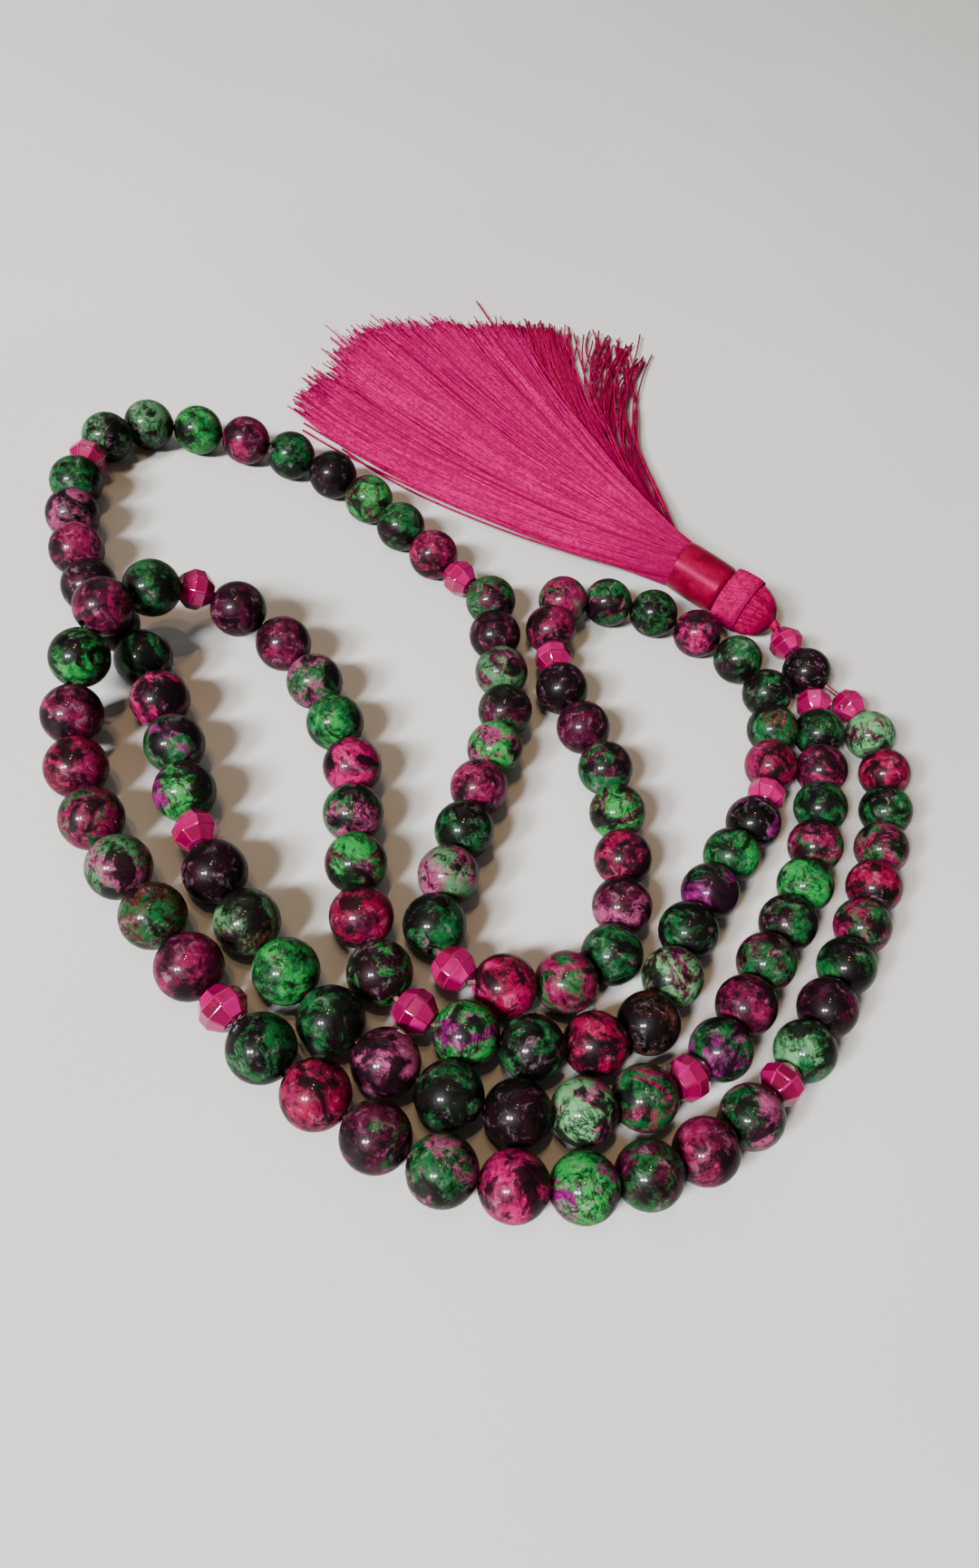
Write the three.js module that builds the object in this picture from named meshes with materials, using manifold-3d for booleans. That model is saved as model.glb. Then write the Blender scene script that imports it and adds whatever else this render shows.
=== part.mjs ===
// A beaded necklace of 108 round stones in twelve groups of nine, with faceted crystals between the
// groups, a guru bead where the two ends meet and a silk tassel. It lies in loose loops on a table.
// Millimetres, +Z up. The table is z = 0, and the origin is the middle of the necklace's footprint.
import * as THREE from "three";
import { mergeVertices } from "three/addons/utils/BufferGeometryUtils.js";
import Module from "manifold-3d";

const wasm = await Module();
wasm.setup();

// Stones, crystals and their thread
const stone_diameter = 8;
const stones_in_group = 9;
const group_count = 12;
const crystal_diameter = 5.8;
const crystal_length = 4.6;
const crystal_play = 0.2; // between a crystal's end and its neighbour
const thread_diameter = 0.8;
const bore_clearance = 0.3;
const thread_gap = 0.3; // where the two halves of the string meet inside the middle crystal
const guru_diameter = 8;
const guru_bore_depth = 2;
const thread_in_guru = 1;
const slack_first = 2.6; // bare thread between the guru bead and the first crystal
const slack_last = 1.1;

// Tassel
const cord_shown = 2; // between the tassel's crystal and its head
const cord_heading = 132; // degrees from +X, from the guru bead to the head
const tassel_heading = 160; // degrees from +X, from the head to the skirt
const head_diameter = 9.6;
const head_length = 9.6;
const band_diameter = 9;
const band_length = 9.8;
const band_wall = 0.5;
const tassel_gap = 0.3; // between head, band and skirt
const skirt_length = 84;
const neck_length = 17; // of the round bundle that the skirt opens from
const neck_diameter = 9.2;
const lock_count = 18;
const lock_root_height = 6.5;
const lock_tip_height = 1.3;
const lock_root_width = 2.2;
const backing_height = 1; // of the thin sheet of threads under the locks

// Fineness of the meshes
const stone_sides = 10;
const crystal_sides = 8;
const round_sides = 16;
const samples_between_points = 24;
const scale_passes = 40; // halvings of the range that the string's scale is found in
const lock_steps = 6;

// Shapes as shares of the sizes above
const stone_profile = [
  { along: -0.62, radius: 0.785 },
  { along: 0, radius: 1 },
  { along: 0.62, radius: 0.785 },
];
const stone_pole = { along: 0.985, radius: 0.17 }; // on the side of a stone that faces a crystal
const crystal_profile = { table: 0.16, girdle: 0.3 };
const head_profile = [
  { along: 0, radius: 0.2 },
  { along: 0.05, radius: 0.46 },
  { along: 0.18, radius: 0.74 },
  { along: 0.38, radius: 0.94 },
  { along: 0.62, radius: 1 },
  { along: 0.86, radius: 0.98 },
  { along: 1, radius: 0.93 },
];
const neck_profile = [
  { along: 0, radius: 0.93 },
  { along: 0.15, radius: 1 },
  { along: 0.4, radius: 0.96 },
  { along: 0.7, radius: 0.7 },
  { along: 1, radius: 0.2 },
];
const lock_section = [
  { across: 0, height: 1 },
  { across: 0.7, height: 0.75 },
  { across: 1, height: 0 },
  { across: -1, height: 0 },
  { across: -0.7, height: 0.75 },
];
const lock_handles = { root: 0.3, tip: 0.35 };
const lock_overlap = 1.15; // width at the tips over the distance between them
const lock_point = { from: 0.9, width: 0.4 };
const lock_fall = 1.7; // power of the slope from the root's height to the tip's
const edge_lock_height = 0.6; // of the fan's outer locks at the root, beside the middle one's
const shorter_lock = 0.97; // two locks of every three
const backing_span = { outer: 0.8, middle: 0.4, inner: 0.1 };

// The string's route from the guru bead round to the guru bead again: x, y, and the height of the
// thread above where it lies on the table, as a share of a stone's diameter.
const route = [
  [42.8, 156.9, 0], [50.8, 152.2, 0], [57.4, 139.6, 0], [56.7, 115.6, 0], [51.3, 92.3, 0],
  [46.2, 78.8, 0], [38.3, 66.7, 0], [25.5, 57.3, 0], [9.8, 53.3, 0], [-6.1, 56.4, 0],
  [-19.3, 62.1, 0], [-31.3, 69.8, 0], [-44, 79.4, 0], [-53.4, 92.2, 0.18], [-56.6, 106.7, 0.9],
  [-48.2, 118.5, 0.6], [-35, 118.8, 0.06], [-28.4, 114.3, 0], [-18.3, 102.2, 0], [-15.4, 94.7, 0],
  [-9, 80.1, 0], [-4.3, 73.5, 0], [1.4, 70.1, 0], [15.5, 71.2, 0], [28.5, 80, 0], [31.3, 95.6, 0],
  [35.2, 110.8, 0], [39, 124.7, 0], [38.6, 139, 0], [37.2, 147, 0], [31.4, 153.2, 0],
  [16.4, 157, 0], [1.3, 152.3, 0], [0.3, 144, 0], [5.2, 131.4, 0], [14.9, 118.8, 0],
  [20.6, 103.9, 0], [22.3, 88.2, 0], [17.6, 81.6, 0], [10.4, 77.9, 0], [3, 78, 0],
  [-0.6, 84, 0], [-0.8, 91, 0], [-1.2, 106.4, 0], [-1.6, 122.2, 0], [-7.2, 136.8, 0], [-9.6, 144.4, 0],
  [-15.3, 147, 0], [-27.5, 153.9, 0], [-42, 160.9, 0], [-57.8, 161.9, 0], [-73.2, 157, 0],
  [-78, 150.2, 0], [-77, 137.5, 0], [-69.8, 123.5, 0], [-59.6, 112.3, 0], [-52, 108, 0],
  [-41.6, 96.2, 0], [-30.6, 81.4, 0], [-16.1, 70.2, 0], [-1.5, 63.2, 0], [14.7, 62.3, 0],
  [29.2, 69.7, 0], [37.9, 79.9, 0], [42.3, 95.4, 0], [46.5, 111, 0], [47.6, 127.2, 0],
  [46.1, 143.1, 0], [42.8, 156.9, 0],
];

// The tassel's fan from its lower edge round to its right edge. bearing is where the tips lie from
// the end of the band, and leave and arrive are how a lock's ends turn from that, all in degrees.
const fan = [
  { bearing: 174, reach: 0.89, leave: 10, arrive: -18 },
  { bearing: 165, reach: 0.92, leave: 7, arrive: -10 },
  { bearing: 153, reach: 0.98, leave: 4, arrive: -4 },
  { bearing: 142, reach: 1, leave: 3, arrive: 0 },
  { bearing: 132, reach: 0.93, leave: 4, arrive: 0 },
  { bearing: 122, reach: 0.96, leave: 6, arrive: -3 },
  { bearing: 113, reach: 0.95, leave: 9, arrive: -5 },
  { bearing: 104, reach: 0.94, leave: 13, arrive: -4 },
];

const finishes = {
  stone: new THREE.MeshStandardMaterial({ color: 0x4a1f2c, roughness: 0.2, metalness: 0 }),
  guru: new THREE.MeshStandardMaterial({ color: 0x1d1416, roughness: 0.2, metalness: 0 }),
  crystal: new THREE.MeshStandardMaterial({ color: 0xe0107a, roughness: 0.15, metalness: 0 }),
  silk: new THREE.MeshStandardMaterial({ color: 0xe6127d, roughness: 0.45, metalness: 0 }),
  satin: new THREE.MeshStandardMaterial({ color: 0xc8063f, roughness: 0.35, metalness: 0 }),
};

const stone_radius = stone_diameter / 2;
const guru_radius = guru_diameter / 2;
const thread_radius = thread_diameter / 2;
const bore_radius = thread_radius + bore_clearance;
const up = new THREE.Vector3(0, 0, 1);

// Unit vector on the table at an angle from +X.
function heading(degrees) {
  const turn = THREE.MathUtils.degToRad(degrees);
  return new THREE.Vector3(Math.cos(turn), Math.sin(turn), 0);
}

function step(from, direction, distance) {
  return from.clone().addScaledVector(direction, distance);
}

function directionBetween(from, to) {
  return to.clone().sub(from).normalize();
}

// Regular ring of points about a direction, with one point straight below the centre.
function ring(centre, along, radius, sides) {
  const side = along.clone().cross(up).normalize();
  const top = side.clone().cross(along);
  return Array.from({ length: sides }, (_, k) => {
    const turn = (2 * Math.PI * k) / sides;
    const point = step(centre, top, -radius * Math.cos(turn));
    return point.addScaledVector(side, -radius * Math.sin(turn));
  });
}

// Closed skin over rings with equal numbers of points, flat at both ends.
function skin(rings) {
  const sides = rings[0].length;
  const points = rings.flat();
  const faces = [];
  for (let row = 0; row + sides < points.length; row += sides) {
    for (let k = 0; k < sides; k++) {
      const a = row + k;
      const b = row + ((k + 1) % sides);
      faces.push(a, b, b + sides, a, b + sides, a + sides);
    }
  }
  const last = points.length - sides;
  for (let k = 1; k + 1 < sides; k++) {
    faces.push(0, k + 1, k);
    faces.push(last, last + k, last + k + 1);
  }
  return new THREE.BufferGeometry().setFromPoints(points).setIndex(faces);
}

function toSolid(geometry) {
  const bare = geometry.clone();
  bare.deleteAttribute("normal");
  bare.deleteAttribute("uv");
  const merged = mergeVertices(bare);
  return new wasm.Manifold(
    new wasm.Mesh({
      numProp: 3,
      vertProperties: merged.attributes.position.array,
      triVerts: new Uint32Array(merged.index.array),
    }),
  );
}

function toGeometry(solid) {
  const { vertProperties, triVerts } = solid.getMesh();
  const geometry = new THREE.BufferGeometry();
  geometry.setAttribute("position", new THREE.BufferAttribute(vertProperties, 3));
  geometry.setIndex(new THREE.BufferAttribute(triVerts, 1));
  return geometry;
}

// A mesh whose flat facets show as they are.
function piece(name, geometry, finish) {
  const facets = geometry.index ? geometry.toNonIndexed() : geometry;
  facets.computeVertexNormals();
  const mesh = new THREE.Mesh(facets, finish);
  mesh.name = name;
  return mesh;
}

// Round solid about a line: each row of the profile is a distance along it and a radius there.
function turned(start, along, rows, sides) {
  return skin(rows.map(({ along: at, radius }) => ring(step(start, along, at), along, radius, sides)));
}

function scaledProfile(profile, length, radius) {
  return profile.map((row) => ({ along: row.along * length, radius: row.radius * radius }));
}

// The string in order: guru bead, a crystal, then nine stones and a crystal for each group, and
// back to the guru bead. half is what a bead takes up on each side of its centre.
function listBeads() {
  const guru = { kind: "guru", half: guru_radius };
  const crystal = { kind: "crystal", half: crystal_length / 2 + crystal_play };
  const stone = { kind: "stone", half: stone_radius };
  const beads = [guru, crystal];
  for (let group = 0; group < group_count; group++) {
    beads.push(...Array(stones_in_group).fill(stone), crystal);
  }
  beads.push(guru);
  return beads.map((bead) => ({ ...bead }));
}

// Straight distances between the centres of neighbours.
function listSteps(beads) {
  const steps = beads.slice(1).map((bead, i) => beads[i].half + bead.half);
  steps[0] += slack_first;
  steps[steps.length - 1] += slack_last;
  return steps;
}

// Fine polyline along the route, widened on the table by a scale and nowhere below where beads lie.
function tracePath(scale) {
  const points = route.map(
    ([x, y, lift]) => new THREE.Vector3(x * scale, y * scale, (0.5 + lift) * stone_diameter),
  );
  const curve = new THREE.CatmullRomCurve3(points, false, "catmullrom", 0.5);
  const path = curve.getPoints((points.length - 1) * samples_between_points);
  path.forEach((point) => point.setZ(Math.max(point.z, stone_radius)));
  return path;
}

// Centres along a path at the given straight distances, as many as the path has room for.
function placeAlong(path, steps) {
  const centres = [path[0].clone()];
  let next = 1;
  for (const distance of steps) {
    const from = centres[centres.length - 1];
    while (next < path.length && path[next].distanceTo(from) < distance) next++;
    if (next === path.length) break;
    const near = path[next - 1].distanceTo(from);
    const far = path[next].distanceTo(from);
    const share = (distance - near) / (far - near);
    centres.push(path[next - 1].clone().lerp(path[next], share));
  }
  return centres;
}

// The beads at their centres, on the route at the scale that brings the last one back to the first.
function layString() {
  const beads = listBeads();
  const steps = listSteps(beads);
  let low = 0.2;
  let high = 5;
  let centres = [];
  let path = [];
  for (let pass = 0; pass < scale_passes; pass++) {
    const scale = (low + high) / 2;
    path = tracePath(scale);
    centres = placeAlong(path, steps);
    if (centres.length < beads.length) low = scale;
    else high = scale;
  }
  path = tracePath(high);
  centres = placeAlong(path, steps);
  beads.forEach((bead, i) => {
    bead.centre = centres[i];
  });
  beads[beads.length - 1].centre = beads[0].centre;
  return beads;
}

// Each bead's axis, and the two places where the thread leaves it.
function addAxes(beads) {
  beads.forEach((bead, i) => {
    if (bead.kind !== "crystal") return;
    bead.axis = directionBetween(beads[i - 1].centre, beads[i + 1].centre);
    const mouth = (crystal_length + crystal_play) / 2;
    bead.start = step(bead.centre, bead.axis, -mouth);
    bead.end = step(bead.centre, bead.axis, mouth);
  });
  beads.forEach((bead, i) => {
    if (bead.kind !== "stone") return;
    const before = beads[i - 1];
    const after = beads[i + 1];
    bead.start = before.end ?? before.centre.clone().lerp(bead.centre, 0.5);
    bead.end = after.kind === "crystal" ? after.start : after.centre.clone().lerp(bead.centre, 0.5);
    bead.axis = directionBetween(bead.start, bead.end);
  });
}

function threadRing(centre, along) {
  return ring(centre, along, thread_radius, stone_sides);
}

function stoneRing(bead, { along, radius }) {
  const centre = step(bead.centre, bead.axis, along * stone_radius);
  return ring(centre, bead.axis, radius * stone_radius, stone_sides);
}

// Rings over one bead, ending with the thread's ring where it leaves the bead.
function beadRings(before, bead, after) {
  if (bead.kind === "crystal") return [threadRing(bead.end, bead.axis)];
  const rings = stone_profile.map((row) => stoneRing(bead, row));
  if (before.kind === "crystal") {
    rings.unshift(stoneRing(bead, { ...stone_pole, along: -stone_pole.along }));
  }
  if (after.kind === "crystal") {
    rings.push(stoneRing(bead, stone_pole), threadRing(bead.end, after.axis));
  } else {
    rings.push(threadRing(bead.end, directionBetween(bead.centre, after.centre)));
  }
  return rings;
}

// Where a string's thread ends inside the guru bead, on its way to a crystal's mouth.
function threadEndInGuru(guru, mouth) {
  return step(guru, directionBetween(guru, mouth), guru_radius - thread_in_guru);
}

// The first half of the string: from the guru bead to the middle of the middle crystal.
function firstString(beads, middle) {
  const guru = beads[0].centre;
  const first = beads[1];
  const tip = threadEndInGuru(guru, first.start);
  const rings = [
    threadRing(tip, directionBetween(tip, first.start)),
    threadRing(first.start, first.axis),
  ];
  for (let i = 1; i < middle; i++) rings.push(...beadRings(beads[i - 1], beads[i], beads[i + 1]));
  const { centre, axis } = beads[middle];
  rings.push(threadRing(step(centre, axis, -thread_gap / 2), axis));
  return skin(rings);
}

// The second half: from the middle crystal back to the guru bead.
function secondString(beads, middle) {
  const { centre, axis, end } = beads[middle];
  const rings = [threadRing(step(centre, axis, thread_gap / 2), axis), threadRing(end, axis)];
  const last = beads.length - 2;
  for (let i = middle + 1; i <= last; i++) {
    rings.push(...beadRings(beads[i - 1], beads[i], beads[i + 1]));
  }
  const guru = beads[0].centre;
  const tip = threadEndInGuru(guru, beads[last].end);
  rings.push(threadRing(tip, directionBetween(beads[last].end, tip)));
  return skin(rings);
}

// Faceted crystal with a flat table at each end and a bore for the thread.
function crystalGeometry(centre, axis) {
  const radius = crystal_diameter / 2;
  const half = crystal_length / 2;
  const table = bore_radius + (radius - bore_radius) * crystal_profile.table;
  const girdle = half * crystal_profile.girdle;
  const outline = [
    [bore_radius, -half],
    [table, -half],
    [radius, -girdle],
    [radius, girdle],
    [table, half],
    [bore_radius, half],
    [bore_radius, -half],
  ].map(([r, y]) => new THREE.Vector2(r, y));
  const geometry = new THREE.LatheGeometry(outline, crystal_sides);
  const turn = new THREE.Quaternion().setFromUnitVectors(new THREE.Vector3(0, 1, 0), axis);
  return geometry.applyQuaternion(turn).translate(centre.x, centre.y, centre.z);
}

// Round bead with a blind bore towards each place that a thread comes from.
function guruGeometry(centre, mouths) {
  const ball = new THREE.SphereGeometry(guru_radius, round_sides, round_sides - 4);
  let solid = toSolid(ball.translate(centre.x, centre.y, centre.z));
  for (const mouth of mouths) {
    const inward = directionBetween(mouth, centre);
    const start = step(centre, inward, -guru_radius - 1);
    const bore = turned(
      start,
      inward,
      [{ along: 0, radius: bore_radius }, { along: guru_bore_depth + 1, radius: bore_radius }],
      crystal_sides,
    );
    solid = solid.subtract(toSolid(bore));
  }
  return toGeometry(solid);
}

// Places of the tassel's crystal, head, band and skirt, in line from the guru bead.
function placeTassel(guru) {
  const crystalReach = guru_radius + crystal_play + crystal_length / 2;
  const cordLength = crystalReach + crystal_length / 2 + crystal_play + cord_shown;
  const flat = heading(cord_heading);
  const nose = step(guru, flat, cordLength);
  nose.z = head_diameter / 2;
  const cordAxis = directionBetween(guru, nose);
  const axis = heading(tassel_heading);
  const bandStart = step(nose, axis, head_length + tassel_gap);
  const bandEnd = step(bandStart, axis, band_length);
  return {
    nose,
    cordAxis,
    axis,
    bandStart,
    bandEnd,
    crystal: step(guru, cordAxis, crystalReach),
    cordEnd: step(guru, cordAxis, guru_radius - thread_in_guru),
  };
}

// Bundle of threads folded over the cord, with the cord that runs on through the crystal.
function headGeometry(tassel) {
  const rows = scaledProfile(head_profile, head_length, head_diameter / 2);
  const dome = toSolid(turned(tassel.nose, tassel.axis, rows, round_sides));
  const inside = step(tassel.nose, tassel.axis, head_length / 4);
  const cord = skin([
    threadRing(tassel.cordEnd, tassel.cordAxis),
    threadRing(step(tassel.nose, tassel.cordAxis, -cord_shown / 4), tassel.cordAxis),
    threadRing(inside, tassel.axis),
  ]);
  return toGeometry(dome.add(toSolid(cord)));
}

// Satin wrapped round the neck of the bundle.
function bandGeometry(tassel) {
  const radius = band_diameter / 2;
  const outer = turned(
    tassel.bandStart,
    tassel.axis,
    [{ along: 0, radius }, { along: band_length, radius }],
    round_sides,
  );
  const inner = turned(
    step(tassel.bandStart, tassel.axis, -1),
    tassel.axis,
    [{ along: 0, radius: radius - band_wall }, { along: band_length + 2, radius: radius - band_wall }],
    round_sides,
  );
  return toGeometry(toSolid(outer).subtract(toSolid(inner)));
}

// A row of the fan table at a share from its lower edge to its right edge.
function fanAt(share) {
  const place = share * (fan.length - 1);
  const row = Math.min(Math.floor(place), fan.length - 2);
  const rest = place - row;
  const mix = (key) => fan[row][key] * (1 - rest) + fan[row + 1][key] * rest;
  return { bearing: mix("bearing"), reach: mix("reach"), leave: mix("leave"), arrive: mix("arrive") };
}

// Curve on the table that a lock follows from the neck to its tip.
function lockCurve(tassel, share, reachScale) {
  const { bearing, reach, leave, arrive } = fanAt(share);
  const length = skirt_length * reach * reachScale;
  const foot = step(tassel.bandEnd, tassel.axis, tassel_gap + lock_root_width);
  foot.z = 0;
  const sideways = tassel.axis.clone().cross(up);
  const spread = (share - 0.5) * (neck_diameter - 2 * lock_root_width);
  const root = step(foot, sideways, -spread);
  root.z = 0;
  const base = tassel.bandEnd.clone().setZ(0);
  const tip = step(base, heading(bearing), length);
  return new THREE.CubicBezierCurve3(
    root,
    step(root, heading(bearing + leave), length * lock_handles.root),
    step(tip, heading(bearing + arrive), -length * lock_handles.tip),
    tip,
  );
}

// A strip of threads: flat below, ridged above, and narrowing at both ends.
function lockGeometry(curve, tipWidth, rootHeight) {
  const rings = [];
  for (let i = 0; i <= lock_steps; i++) {
    const t = i / lock_steps;
    const centre = curve.getPoint(t);
    const side = curve.getTangent(t).cross(up);
    const taper = t > lock_point.from ? lock_point.width : 1;
    const half = (THREE.MathUtils.lerp(lock_root_width, tipWidth, t) * taper) / 2;
    const high = THREE.MathUtils.lerp(lock_tip_height, rootHeight, Math.pow(1 - t, lock_fall));
    rings.push(
      lock_section.map(({ across, height }) =>
        step(step(centre, side, across * half), up, height * high),
      ),
    );
  }
  return skin(rings);
}

// Thin sheet under the locks, which joins them up to the outer part of their length.
function backingGeometry(tassel) {
  const curves = Array.from({ length: lock_count }, (_, i) => lockCurve(tassel, i / (lock_count - 1), 1));
  const lower = curves[0];
  const right = curves[lock_count - 1];
  const points = [
    ...curves.map((curve) => curve.getPoint(backing_span.outer)),
    right.getPoint(backing_span.middle),
    right.getPoint(backing_span.inner),
    lower.getPoint(backing_span.inner),
    lower.getPoint(backing_span.middle),
  ];
  const shape = new THREE.Shape(points.map((p) => new THREE.Vector2(p.x, p.y)));
  return new THREE.ExtrudeGeometry(shape, { depth: backing_height, bevelEnabled: false });
}

// The silk that opens out of the band: a round neck and locks fused to a thin backing.
function skirtGeometry(tassel) {
  const coreRadius = band_diameter / 2 - band_wall - tassel_gap;
  const core = turned(
    tassel.bandStart,
    tassel.axis,
    [
      { along: 0, radius: coreRadius },
      { along: band_length + 2 * tassel_gap, radius: coreRadius },
    ],
    round_sides,
  );
  const neckStart = step(tassel.bandEnd, tassel.axis, tassel_gap);
  const neckRows = scaledProfile(neck_profile, neck_length, neck_diameter / 2);
  const neck = turned(neckStart, tassel.axis, neckRows, round_sides);
  let solid = toSolid(core).add(toSolid(neck)).add(toSolid(backingGeometry(tassel)));
  const fanAngle = THREE.MathUtils.degToRad(fan[0].bearing - fan[fan.length - 1].bearing);
  const pitch = (skirt_length * fanAngle) / (lock_count - 1);
  for (let i = 0; i < lock_count; i++) {
    const share = i / (lock_count - 1);
    const curve = lockCurve(tassel, share, i % 3 === 1 ? 1 : shorter_lock);
    const rise = THREE.MathUtils.lerp(edge_lock_height, 1, Math.sin(Math.PI * share));
    solid = solid.add(toSolid(lockGeometry(curve, pitch * lock_overlap, lock_root_height * rise)));
  }
  return toGeometry(solid);
}

const beads = layString();
addAxes(beads);
const middle = (group_count / 2) * (stones_in_group + 1) + 1;
const guru = beads[0].centre;
const tassel = placeTassel(guru);

const strand = new THREE.Group();
strand.add(piece("bead_string_a", firstString(beads, middle), finishes.stone));
strand.add(piece("bead_string_b", secondString(beads, middle), finishes.stone));
beads
  .filter((bead) => bead.kind === "crystal")
  .forEach((bead, i) => {
    const name = `crystal_spacer_${String(i + 1).padStart(2, "0")}`;
    strand.add(piece(name, crystalGeometry(bead.centre, bead.axis), finishes.crystal));
  });
const mouths = [beads[1].start, beads[beads.length - 2].end, tassel.crystal];
strand.add(piece("guru_bead", guruGeometry(guru, mouths), finishes.guru));
strand.add(piece("tassel_crystal", crystalGeometry(tassel.crystal, tassel.cordAxis), finishes.crystal));
strand.add(piece("tassel_head", headGeometry(tassel), finishes.silk));
strand.add(piece("tassel_band", bandGeometry(tassel), finishes.satin));
strand.add(piece("tassel_skirt", skirtGeometry(tassel), finishes.silk));

// The footprint's middle is the origin.
const footprint = new THREE.Box3().setFromObject(strand).getCenter(new THREE.Vector3());
strand.position.set(-footprint.x, -footprint.y, 0);

const necklace = new THREE.Group();
necklace.add(strand);
export default necklace;
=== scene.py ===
"""A beaded necklace with a silk tassel, lying in loose loops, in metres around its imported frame."""
import math

import bmesh
import bpy
import numpy as np
from mathutils import Matrix, Vector


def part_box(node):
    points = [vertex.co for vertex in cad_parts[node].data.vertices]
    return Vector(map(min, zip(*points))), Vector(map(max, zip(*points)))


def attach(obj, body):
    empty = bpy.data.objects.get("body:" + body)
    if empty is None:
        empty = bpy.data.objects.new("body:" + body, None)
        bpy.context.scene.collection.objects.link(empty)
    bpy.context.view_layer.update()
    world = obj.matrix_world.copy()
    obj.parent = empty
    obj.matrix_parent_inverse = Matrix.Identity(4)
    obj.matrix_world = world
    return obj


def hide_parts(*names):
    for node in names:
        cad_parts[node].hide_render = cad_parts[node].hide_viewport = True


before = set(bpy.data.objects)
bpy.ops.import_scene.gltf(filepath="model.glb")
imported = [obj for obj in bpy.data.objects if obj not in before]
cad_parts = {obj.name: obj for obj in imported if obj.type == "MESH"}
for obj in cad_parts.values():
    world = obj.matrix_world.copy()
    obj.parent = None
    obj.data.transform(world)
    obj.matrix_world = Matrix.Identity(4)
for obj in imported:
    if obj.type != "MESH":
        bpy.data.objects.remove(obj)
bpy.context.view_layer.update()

MM = 0.001

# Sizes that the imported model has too
STONE_RADIUS = 4 * MM
STONES_IN_GROUP = 9
GROUPS = 12
CRYSTAL_RADIUS = 2.9 * MM
CRYSTAL_LENGTH = 4.6 * MM
CRYSTAL_PLAY = 0.2 * MM
THREAD_RADIUS = 0.4 * MM
BORE_RADIUS = 0.62 * MM
SLACK_FIRST = 2.6 * MM
SLACK_LAST = 1.1 * MM
CORD_SHOWN = 2 * MM
CORD_HEADING = 132
TASSEL_HEADING = 160
HEAD_RADIUS = 4.8 * MM
HEAD_LENGTH = 9.6 * MM
BAND_RADIUS = 4.5 * MM
BAND_LENGTH = 9.8 * MM
TASSEL_GAP = 0.3 * MM
SKIRT_LENGTH = 84 * MM

# Sizes and counts of what only this scene draws
STONE_ROWS = 17
STONE_SIDES = 28
CRYSTAL_FACETS = 8
CRYSTAL_EDGE = 0.14 * MM
FLAT_FACET_AREA = 0.4 * MM * MM
BAND_TURNS = 34
BAND_SIDES = 48
HEAD_THREADS = 330
MOUTH_THREADS = 170
MOUTH_FROM = 0.5  # where the crossed threads start, as a share of the head
MOUTH_TURN = 0.5  # how far each leans round the head, in radians
SILK_RADIUS = 0.19 * MM
STRAND_RADIUS = 0.2 * MM
SKIRT_LOCKS = 90
SKIRT_STEPS = 16
SKIRT_ROOT_DEPTH = 1.2 * MM  # how far the threads start inside the band
SKIRT_STRAIGHT = 2.5 * MM  # how far they run on before they spread
SKIRT_TIP_LOWEST = 0.25 * MM  # how high the lowest threads' tips lie
SKIRT_TIP_PILE = 1.5 * MM  # how much higher the uppermost ones lie
TABLE_SIZE = 6
SEED = 11

# The head's outline: shares of its length from the nose, and of its radius
HEAD_PROFILE = [
    (0, 0.2),
    (0.05, 0.46),
    (0.18, 0.74),
    (0.38, 0.94),
    (0.62, 1),
    (0.86, 0.98),
    (1, 0.93),
]

# The string's route as in part.mjs, but in metres: x, y, and the lift as a share of a stone
ROUTE = [
    (0.0428, 0.1569, 0), (0.0508, 0.1522, 0), (0.0574, 0.1396, 0), (0.0567, 0.1156, 0),
    (0.0513, 0.0923, 0), (0.0462, 0.0788, 0), (0.0383, 0.0667, 0), (0.0255, 0.0573, 0),
    (0.0098, 0.0533, 0), (-0.0061, 0.0564, 0), (-0.0193, 0.0621, 0), (-0.0313, 0.0698, 0),
    (-0.044, 0.0794, 0), (-0.0534, 0.0922, 0.18), (-0.0566, 0.1067, 0.9), (-0.0482, 0.1185, 0.6),
    (-0.035, 0.1188, 0.06), (-0.0284, 0.1143, 0), (-0.0183, 0.1022, 0), (-0.0154, 0.0947, 0),
    (-0.009, 0.0801, 0), (-0.0043, 0.0735, 0), (0.0014, 0.0701, 0), (0.0155, 0.0712, 0),
    (0.0285, 0.08, 0), (0.0313, 0.0956, 0), (0.0352, 0.1108, 0), (0.039, 0.1247, 0),
    (0.0386, 0.139, 0), (0.0372, 0.147, 0), (0.0314, 0.1532, 0), (0.0164, 0.157, 0),
    (0.0013, 0.1523, 0), (0.0003, 0.144, 0), (0.0052, 0.1314, 0), (0.0149, 0.1188, 0),
    (0.0206, 0.1039, 0), (0.0223, 0.0882, 0), (0.0176, 0.0816, 0), (0.0104, 0.0779, 0),
    (0.003, 0.078, 0), (-0.0006, 0.084, 0), (-0.0008, 0.091, 0), (-0.0012, 0.1064, 0),
    (-0.0016, 0.1222, 0), (-0.0072, 0.1368, 0), (-0.0096, 0.1444, 0), (-0.0153, 0.147, 0),
    (-0.0275, 0.1539, 0), (-0.042, 0.1609, 0), (-0.0578, 0.1619, 0), (-0.0732, 0.157, 0),
    (-0.078, 0.1502, 0), (-0.077, 0.1375, 0), (-0.0698, 0.1235, 0), (-0.0596, 0.1123, 0),
    (-0.052, 0.108, 0), (-0.0416, 0.0962, 0), (-0.0306, 0.0814, 0), (-0.0161, 0.0702, 0),
    (-0.0015, 0.0632, 0), (0.0147, 0.0623, 0), (0.0292, 0.0697, 0), (0.0379, 0.0799, 0),
    (0.0423, 0.0954, 0), (0.0465, 0.111, 0), (0.0476, 0.1272, 0), (0.0461, 0.1431, 0),
    (0.0428, 0.1569, 0),
]
STEPS_BETWEEN_POINTS = 24
SCALE_PASSES = 40

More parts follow.
